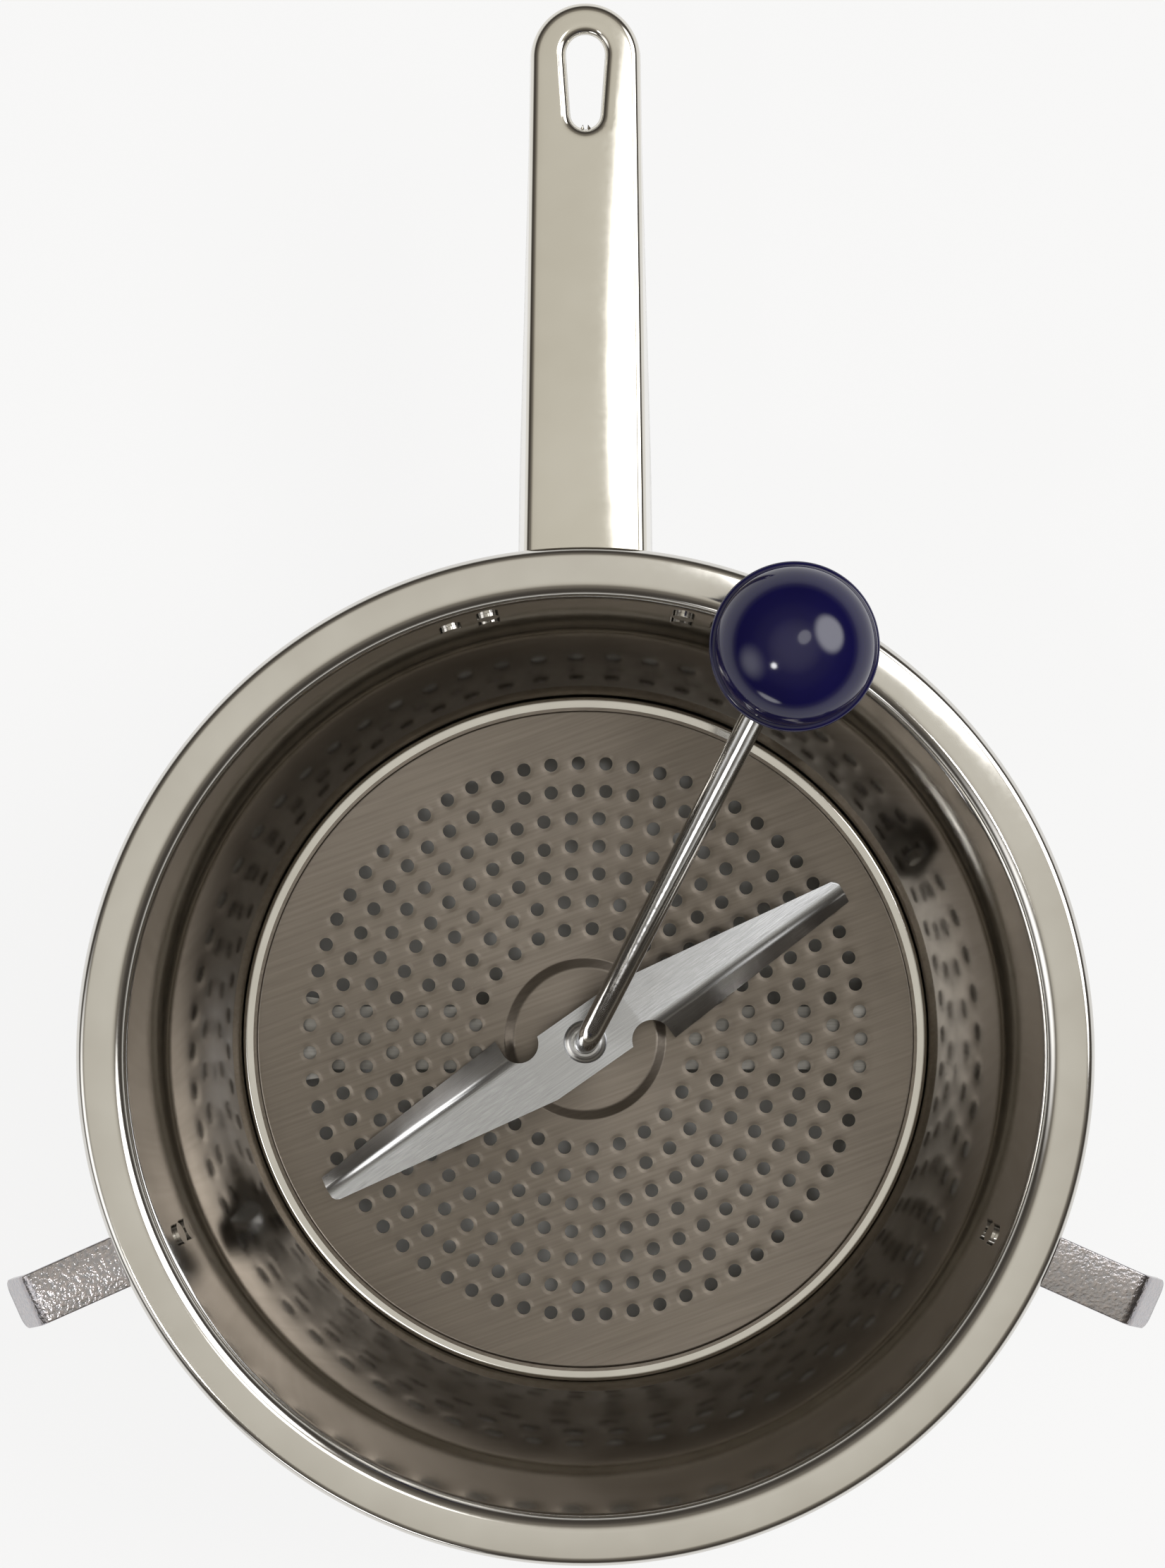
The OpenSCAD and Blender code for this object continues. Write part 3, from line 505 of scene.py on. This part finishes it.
leg_tip = (leg_out + leg_tip_l * math.cos(leg_tip_fall), leg_level - leg_tip_l * math.sin(leg_tip_fall))
leg_corners = rounded([(beside_wall(leg_foot, leg_line_gap), leg_foot, 0),
                       (beside_wall(leg_level, leg_line_gap), leg_level, leg_bend),
                       (leg_out, leg_level, leg_bend), (*leg_tip, 0)], steps=12)
leg_line = []
for a, b in zip(leg_corners, leg_corners[1:]):
    parts = max(1, math.ceil((b - a).length / leg_step))
    leg_line += [a.lerp(b, i / parts) for i in range(parts)]
# The last points lie close together, where the tip's corners are rounded.
leg_line += [leg_corners[-1].lerp(leg_line[-1], t) for t in (0.6, 0.3, 0.1, 0)]


def leg_mesh(turn):
    """Vertices and faces of a bent strip with tumbled edges, its free end rounded at the corners."""
    verts, faces = [], []
    sides = 20
    left = 0
    lengths = [0]
    for a, b in zip(leg_line, leg_line[1:]):
        left += (b - a).length
        lengths.append(left)
    for i, point in enumerate(leg_line):
        ahead = leg_line[min(i + 1, len(leg_line) - 1)] - point
        behind = point - leg_line[max(i - 1, 0)]
        along = ((ahead or behind).normalized() + (behind or ahead).normalized()).normalized()
        up = Vector((-along.y, along.x))
        to_end = min(left - lengths[i], leg_corner)
        half_w = leg_w / 2 - leg_corner + math.sqrt(leg_corner ** 2 - (leg_corner - to_end) ** 2)
        half_t = leg_t / 2
        for centre_y, centre_n, start in ((half_w, half_t, 0), (-half_w, half_t, 90),
                                          (-half_w, -half_t, 180), (half_w, -half_t, 270)):
            for k in range(sides // 4):
                a = math.radians(start + 90 * k / (sides // 4 - 1))
                y = centre_y - math.copysign(leg_edge, centre_y) + leg_edge * math.cos(a)
                n = centre_n - math.copysign(leg_edge, centre_n) + leg_edge * math.sin(a)
                r, z = point + up * n
                verts.append((r * math.cos(turn) - y * math.sin(turn),
                              r * math.sin(turn) + y * math.cos(turn), z))
    for i in range(len(leg_line) - 1):
        faces += [(i * sides + k, i * sides + (k + 1) % sides,
                   (i + 1) * sides + (k + 1) % sides, (i + 1) * sides + k) for k in range(sides)]
    faces.append(tuple(range(sides))[::-1])
    faces.append(tuple((len(leg_line) - 1) * sides + k for k in range(sides)))
    return verts, faces


# The tumbling leaves a pebbled skin, with grains about a millimetre across.
leg_steel = polished_steel("tumbled_strip_stainless", "#9a9fa8", "#c2b8b5", 0.17, 1.0, 0.3)
make_piece("leg_right", *leg_mesh(-leg_turn), leg_steel, "bowl", "polished_stainless", ["leg_right"],
           crease_angle=35)
make_piece("leg_left", *leg_mesh(math.pi + leg_turn), leg_steel, "bowl", "polished_stainless", ["leg_left"],
           crease_angle=35)
rivet_steel = polished_steel("polished_rivet_steel", "#cfccc8", "#e2e0dc", 0.12, 3, 0.05)
for rivets in ("handle_rivets", "leg_rivets"):
    finish_node(rivets, rivet_steel)


# ---- Milling disc ----
# Matt cold-rolled stainless, 0.8 mm, with rings of punched holes. The punch leaves a
# small dimple round each hole. The middle is raised and plain, the edge is turned up.
disc_top, disc_under = 16.8, 16.0
disc_line = (disc_top + disc_under) / 2
disc_bore_r, middle_line_z, middle_slope_r, middle_foot_r = 3.06, 17.6, 18, 20.4
disc_edge_r, disc_edge_top = 83.7, 18.8
hole_r = 1.7
hole_pitch = ring_pitch = 7
first_ring_r = 28
ring_count = 7
dimple_depth, dimple_w = 0.16, 1.2
dimple_shares = (None, 1, 0.6, 0.3, 0)
cell_steps = 5


def smooth_step(t):
    """Goes from 0 to 1 with level ends."""
    return t * t * (3 - 2 * t)


middle_line = rounded([(disc_bore_r, middle_line_z, 0), (middle_slope_r, middle_line_z, 1.5),
                       (middle_foot_r, disc_line, 1.5), (first_ring_r - ring_pitch / 2, disc_line, 0)])
edge_line = rounded([(first_ring_r + (ring_count - 0.5) * ring_pitch, disc_line, 0),
                     (disc_edge_r, disc_line, 0.9), (disc_edge_r, disc_edge_top, 0)])
disc_verts, disc_faces = [], []
for line in (middle_line, edge_line):
    verts, faces = spun(sheet_section(line, disc_top - disc_under))
    disc_faces += [tuple(v + len(disc_verts) for v in face) for face in faces]
    disc_verts += verts

# Round each hole a curved square cell, from its border (None) over the dimple (1 to 0)
# to the hole's edge, then down the hole and out again on the underside.
for ring in range(ring_count):
    ring_r = first_ring_r + ring * ring_pitch
    count = round(2 * math.pi * ring_r / hole_pitch)
    half_u, half_v = ring_pitch / 2, math.pi * ring_r / count
    steps = [i / cell_steps * 2 - 1 for i in range(cell_steps)]
    border = ([(half_u, half_v * t) for t in steps] + [(-half_u * t, half_v) for t in steps]
              + [(-half_u, -half_v * t) for t in steps] + [(half_u * t, -half_v) for t in steps])
    for hole in range(count):
        turn = (hole + ring / 2) * 2 * math.pi / count
        loops = ([(False, share) for share in dimple_shares]
                 + [(True, share) for share in dimple_shares[::-1]])
        first = len(disc_verts)
        for under, share in loops:
            for u, v in border:
                far = math.hypot(u, v)
                if share is None:
                    pu, pv, dip = u, v, 0
                else:
                    r = hole_r + dimple_w * share
                    pu, pv = u / far * r, v / far * r
                    dip = dimple_depth * (1 - smooth_step(share))
                a = turn + pv / ring_r
                z = (disc_under if under else disc_top) - dip
                disc_verts.append(((ring_r + pu) * math.cos(a), (ring_r + pu) * math.sin(a), z))
        n = len(border)
        disc_faces += [(first + j * n + i, first + j * n + (i + 1) % n,
                        first + (j + 1) * n + (i + 1) % n, first + (j + 1) * n + i)
                       for j in range(len(loops) - 1) for i in range(n)]
# Its colours are painted darker than the steel is: painted shade, as the disc lies deep in the bowl.
disc_steel_painted_shade = brushed_steel("punched_stainless_painted_shade", "#6b645c", "#8a8279", 0.38, 20, line_mm=0.8)
make_piece("milling_disc", disc_verts, disc_faces, disc_steel_painted_shade, "bowl", "punched_stainless",
           ["milling_disc"], crease_angle=50)


# ---- Retaining bar and its two lugs ----
# Satin stainless strip: the bar under the disc carries the rod's button in a keyhole,
# and its ends hook over the lugs that are spot-welded inside the collar.
# Its colours are painted darker than satin steel is: painted shade, as the bar lies under the disc.
bar_steel_painted_shade = brushed_steel("satin_strip_painted_shade", "#83817e", "#a9a7a4", 0.42, 0)
for part in ("retaining_bar", "bar_lug_left", "bar_lug_right"):
    finish_node(part, bar_steel_painted_shade)


# ---- Seat ring and coil spring ----
# Brassed steel wire of 1.2 mm, wound in four turns with closed ends, on a pressed ring.
# On the real mill the spring shortens as the crank is pressed.
def brassed_wire(name, dark, light, roughness):
    """Thin brass on drawn steel wire: golden and shiny, with duller, browner patches."""
    patch_mm = 2.5
    made = bpy.data.materials.new(name)
    made.use_nodes = True
    tree = made.node_tree
    tree.nodes.clear()
    place = add_node(tree, "ShaderNodeTexCoord")
    patches = add_node(tree, "ShaderNodeTexNoise",
                       {"Vector": place.outputs["Object"], "Scale": 1 / (patch_mm * MM), "Detail": 4.0})
    tint = add_node(tree, "ShaderNodeMix", {"Factor": patches.outputs["Fac"]}, data_type="RGBA")
    tint.inputs[6].default_value = linear(dark)
    tint.inputs[7].default_value = linear(light)
    rough = add_node(tree, "ShaderNodeMapRange",
                     {"Value": patches.outputs["Fac"], "To Min": roughness * 1.5,
                      "To Max": roughness * 0.7})
    skin = add_node(tree, "ShaderNodeBsdfPrincipled",
                    {"Base Color": tint.outputs[2], "Metallic": 1.0, "Roughness": rough.outputs[0]})
    add_node(tree, "ShaderNodeOutputMaterial", {"Surface": skin.outputs[0]})
    return made


def tube(path, radii, sides):
    """Vertices and faces of a round bar along a path, with a radius at each point and flat ends."""
    verts, faces = [], []
    ahead = (path[1] - path[0]).normalized()
    across_bar = ahead.orthogonal().normalized()
    for i, point in enumerate(path):
        a, b = path[max(i - 1, 0)], path[min(i + 1, len(path) - 1)]
        if (b - a).length > 1e-6:
            ahead = (b - a).normalized()
        across_bar = (across_bar - ahead * across_bar.dot(ahead)).normalized()
        up_bar = ahead.cross(across_bar)
        verts += [point + (across_bar * math.cos(2 * math.pi * k / sides)
                           + up_bar * math.sin(2 * math.pi * k / sides)) * radii[i] for k in range(sides)]
    for i in range(len(path) - 1):
        faces += [(i * sides + k, i * sides + (k + 1) % sides,
                   (i + 1) * sides + (k + 1) % sides, (i + 1) * sides + k) for k in range(sides)]
    faces.append(tuple(range(sides))[::-1])
    faces.append(tuple((len(path) - 1) * sides + k for k in range(sides)))
    return verts, faces


coil_r, wire_r, coil_turns = 5.4, 0.6, 4
steps_a_turn, wire_sides = 48, 16
coil_box = [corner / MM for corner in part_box("coil_spring")]
coil_low, coil_high = coil_box[0].z + wire_r, coil_box[1].z - wire_r
closed_turns, closed_pitch = 0.75, 1.3
open_turns = coil_turns - 2 * closed_turns
open_rise = coil_high - coil_low - 2 * closed_turns * closed_pitch


def coil_height(turn):
    """The height of the wire's middle after this many turns: closed, open, closed."""
    if turn < closed_turns:
        return coil_low + turn * closed_pitch
    if turn > coil_turns - closed_turns:
        return coil_high - (coil_turns - turn) * closed_pitch
    return coil_low + closed_turns * closed_pitch + open_rise * (turn - closed_turns) / open_turns


coil_steps = coil_turns * steps_a_turn
coil_path = []
for i in range(coil_steps + 1):
    turn = coil_turns * i / coil_steps
    a = 2 * math.pi * turn
    coil_path.append(Vector((coil_r * math.cos(a), coil_r * math.sin(a), coil_height(turn))))
spring_brass = brassed_wire("brassed_spring_wire", "#a3824a", "#dfc07c", 0.2)
spring = make_piece("coil_spring", *tube(coil_path, [wire_r] * len(coil_path), wire_sides), spring_brass,
                    "spring_carrier", "brassed_wire", ["coil_spring"], crease_angle=60)
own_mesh(spring)
finish_node("spring_seat", spring_brass)


# ---- Crank rod, its weld and the blade ----
# Bright drawn steel rod, 6 mm, turned to a neck and a button at its foot and bent twice.
# The blade is satin sheet, 1.5 mm, with two wings folded down, welded to the rod.
crank_turn = math.radians(64)
crank_reach = 106
crank_rise = crank_reach * 3 / 4
low_bend_z, low_bend_r, high_bend_r = 38.05, 14, 12
rod_r, neck_r = 3, 2
button_low, button_top, neck_top = 6.95, 10.95, 14.4
button_chamfer, stem_chamfer = 0.6, 0.5
stem_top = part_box("crank_rod")[1].z / MM
out_dir = Vector((math.cos(crank_turn), math.sin(crank_turn), 0))
rod_line = rounded([(0, neck_top, 0), (0, low_bend_z, low_bend_r),
                    (crank_reach, low_bend_z + crank_rise, high_bend_r),
                    (crank_reach, stem_top - stem_chamfer, 0)], steps=20)
rod_path = [Vector((0, 0, z))
            for z in (button_low, button_low + button_chamfer, button_top, button_top, neck_top)]
rod_radii = [rod_r - button_chamfer, rod_r, rod_r, neck_r, neck_r]
rod_path += [out_dir * p.x + Vector((0, 0, p.y)) for p in rod_line]
rod_radii += [rod_r] * len(rod_line)
rod_path.append(out_dir * crank_reach + Vector((0, 0, stem_top)))
rod_radii.append(rod_r - stem_chamfer)
rod_steel = polished_steel("bright_drawn_rod", "#c8c8c9", "#e2e0dc", 0.1, 5, 0.08)
make_piece("crank_rod", *tube(rod_path, rod_radii, 40), rod_steel, "crank", "bright_rod", ["crank_rod"],
           crease_angle=30)
weld_steel = brushed_steel("ground_weld_steel", "#9c9c9c", "#c8c8c8", 0.32, 0, line_mm=0.6)
finish_node("rod_weld", weld_steel)
blade_steel = brushed_steel("satin_blade_stainless", "#a6a8ac", "#ccced2", 0.22, 35)
finish_node("blade", blade_steel, edge_mm=0.2)
finish_node("stem_collar", rod_steel)
# The retainer takes the bar's steel, with its painted shade.
finish_node("knob_retainer", bar_steel_painted_shade)


# ---- Knob ----
# Glossy injection-moulded ABS, navy that looks black away from the light. The lower
# half is a bowl on a sleeve; the domed cap snaps over it with a lip and a fine groove.
def moulded_navy(name, dark, light, roughness):
    """Glossy moulded ABS: deep even colour under a clear skin that ripples slightly."""
    drift_mm, ripple_mm, ripple_depth = 12, 7, 0.15
    made = bpy.data.materials.new(name)
    made.use_nodes = True
    tree = made.node_tree
    tree.nodes.clear()
    place = add_node(tree, "ShaderNodeTexCoord")
    drift = add_node(tree, "ShaderNodeTexNoise",
                     {"Vector": place.outputs["Object"], "Scale": 1 / (drift_mm * MM), "Detail": 2.0})
    ripple = add_node(tree, "ShaderNodeTexNoise",
                      {"Vector": place.outputs["Object"], "Scale": 1 / (ripple_mm * MM), "Detail": 1.0})
    tint = add_node(tree, "ShaderNodeMix", {"Factor": drift.outputs["Fac"]}, data_type="RGBA")
    tint.inputs[6].default_value = linear(dark)
    tint.inputs[7].default_value = linear(light)
    rough = add_node(tree, "ShaderNodeMapRange",
                     {"Value": drift.outputs["Fac"], "To Min": roughness * 0.8, "To Max": roughness * 1.3})
    skin_ripple = add_node(tree, "ShaderNodeBump",
                           {"Height": ripple.outputs["Fac"], "Strength": 0.1,
                            "Distance": ripple_depth * MM})
    skin = add_node(tree, "ShaderNodeBsdfPrincipled",
                    {"Base Color": tint.outputs[2], "Roughness": rough.outputs[0], "IOR": 1.5,
                     "Normal": skin_ripple.outputs[0]})
    add_node(tree, "ShaderNodeOutputMaterial", {"Surface": skin.outputs[0]})
    return made


navy = moulded_navy("navy_moulded_abs", "#0d0b3a", "#15124e", 0.09)
knob_r, lip_out, lip_h = 19, 1.7, 4
base_h, cap_h, knob_wall = 20, 15, 2
base_r = knob_r - lip_out
foot_r, sleeve_r, knob_floor, bore_r = 5.6, 5.4, 2.4, 3.06
sleeve_short = 4
knob_turns = 128
knob_place = tuple(out_dir * crank_reach)[:2] + (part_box("knob_base")[0].z / MM,)


def knob_side(low_r, high_r, low_z, high_z, steps=20):
    """A quarter of an ellipse that starts at low_r and is upright where it reaches high_r."""
    end = math.acos(low_r / high_r)
    depth = (high_z - low_z) / math.sin(end)
    return [(high_r * math.cos(end * (1 - i / steps)), high_z - depth * math.sin(end * (1 - i / steps)))
            for i in range(steps + 1)]


base_section = ([(bore_r, 0)] + knob_side(foot_r, base_r, 0, base_h)
                + knob_side(sleeve_r + 1, base_r - knob_wall, knob_floor, base_h)[::-1]
                + [(sleeve_r, knob_floor), (sleeve_r, base_h - sleeve_short),
                   (bore_r, base_h - sleeve_short)])
make_piece("knob_base", *spun(base_section, knob_place, knob_turns), navy, "knob", "navy_plastic",
           ["knob_base"])

lip_low, lip_high, lip_edge = base_h - lip_h / 2, base_h + lip_h / 2, 0.9
dome_r, dome_h = base_r + lip_out / 3, cap_h - lip_h / 2
groove_w, groove_d = 0.5, 0.35
snap_gap = 0.05


def lip_arc(z, from_turn, steps=8):
    """A quarter turn of the lip's rounded edge about height z, from from_turn degrees on."""
    turns = [math.radians(from_turn + 90 * i / steps) for i in range(steps + 1)]
    return [(knob_r - lip_edge + lip_edge * math.cos(a), z + lip_edge * math.sin(a)) for a in turns]


def cap_dome(r, h, steps):
    """A quarter of an ellipse, r across and h high, from the lip up to the cap's middle."""
    turns = [math.radians(90 * i / steps) for i in range(steps + 1)]
    return [(r * math.cos(a), lip_high + h * math.sin(a)) for a in turns]


dome = [p for p in cap_dome(dome_r, dome_h, 32) if p[1] > lip_high + groove_w + 0.1]
hollow = cap_dome(base_r - knob_wall, dome_h - knob_wall, 16)
cap_section = ([(base_r + snap_gap, lip_low)]
               + lip_arc(lip_low + lip_edge, -90) + lip_arc(lip_high - lip_edge, 0)
               + [(dome_r + 0.1, lip_high), (dome_r - groove_d, lip_high + 0.02),
                  (dome_r - groove_d, lip_high + groove_w)]
               + dome + hollow[::-1]
               + [(base_r - knob_wall, base_h + snap_gap), (base_r + snap_gap, base_h + snap_gap)])
make_piece("knob_cap", *spun(cap_section, knob_place, knob_turns), navy, "knob", "navy_plastic",
           ["knob_cap"])
